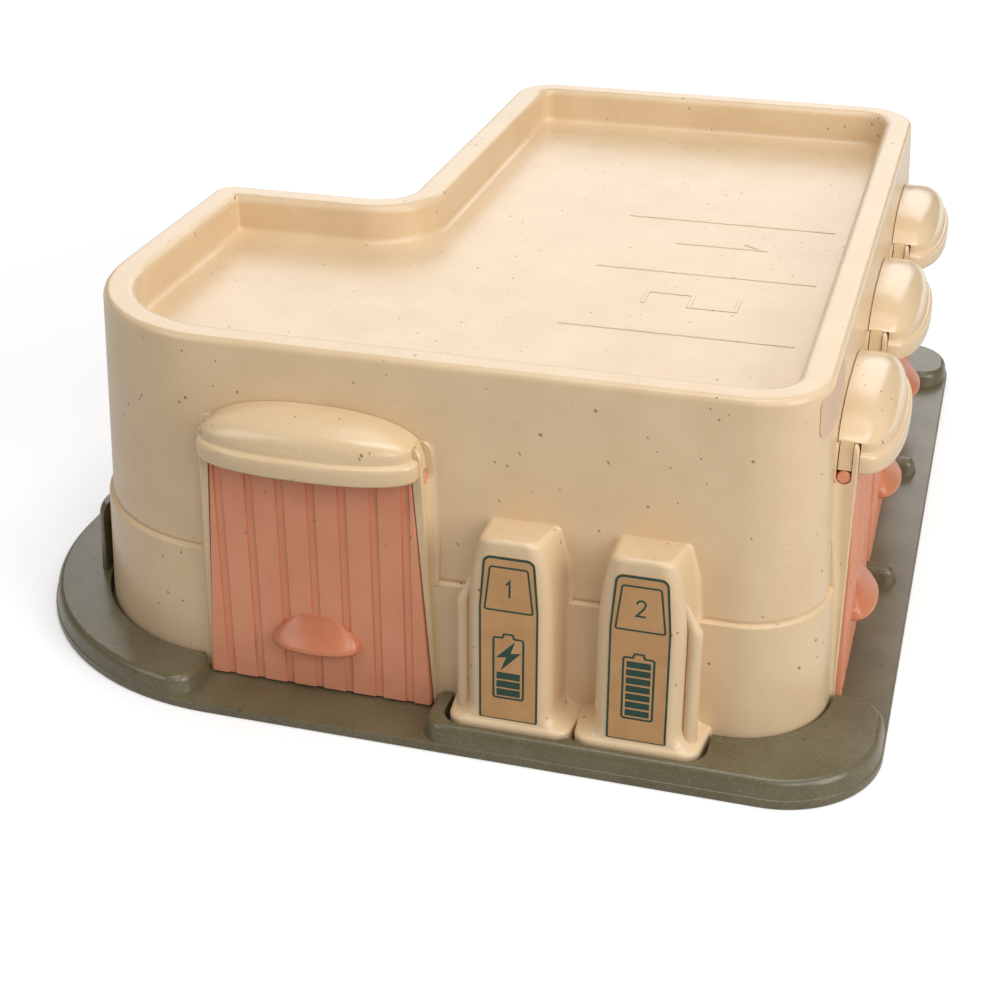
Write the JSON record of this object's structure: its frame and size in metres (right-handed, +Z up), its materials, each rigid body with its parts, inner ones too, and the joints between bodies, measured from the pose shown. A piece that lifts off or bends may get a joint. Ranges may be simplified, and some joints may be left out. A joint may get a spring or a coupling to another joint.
{
  "type": "toy garage",
  "caption": "L-shaped toy garage with a sunk roof deck, up-and-over flap doors under rounded hoods, charging pillars and a base plate with driveways.",
  "frame": {"origin": "centre of the bounding box at the bottom of the base plate", "axes": "+Z up, -Y towards the front wall with one door and the two pillars, +X towards the wall with three doors"},
  "size_m": [0.343, 0.39, 0.1355],
  "materials": {
    "base_olive": "satin olive brown moulding",
    "body_beige": "satin warm beige with sparse dark plant fibres",
    "hood_beige": "soft gloss yellow beige with sparse dark fibres",
    "door_terracotta": "matte terracotta",
    "label_kraft": "tan film label with dark green print",
    "label_pale": "pale tan film label"
  },
  "bodies": {
    "case": {"base_plate": "base_olive", "body_shell": "body_beige", "hood_front": "hood_beige", "hood_side_1": "hood_beige", "hood_side_2": "hood_beige", "hood_side_3": "hood_beige", "label_pillar_left": "label_kraft", "label_pillar_right": "label_kraft", "side_label": "label_pale"},
    "door_front": {"door_front": "door_terracotta"},
    "door_side_1": {"door_side_1": "door_terracotta"},
    "door_side_2": {"door_side_2": "door_terracotta"},
    "door_side_3": {"door_side_3": "door_terracotta"}
  },
  "joints": [
    {"name": "door_front_hinge", "type": "hinge", "parent": "case", "child": "door_front", "pos_m": [-0.0327, -0.16755, 0.095], "axis": [-1, 0, 0], "range_deg": [0, 65]},
    {"name": "door_side_1_hinge", "type": "hinge", "parent": "case", "child": "door_side_1", "pos_m": [0.14655, -0.0885, 0.095], "axis": [0, -1, 0], "range_deg": [0, 65]},
    {"name": "door_side_2_hinge", "type": "hinge", "parent": "case", "child": "door_side_2", "pos_m": [0.14655, 0.0105, 0.095], "axis": [0, -1, 0], "range_deg": [0, 65]},
    {"name": "door_side_3_hinge", "type": "hinge", "parent": "case", "child": "door_side_3", "pos_m": [0.14655, 0.1095, 0.095], "axis": [0, -1, 0], "range_deg": [0, 65]}
  ]
}
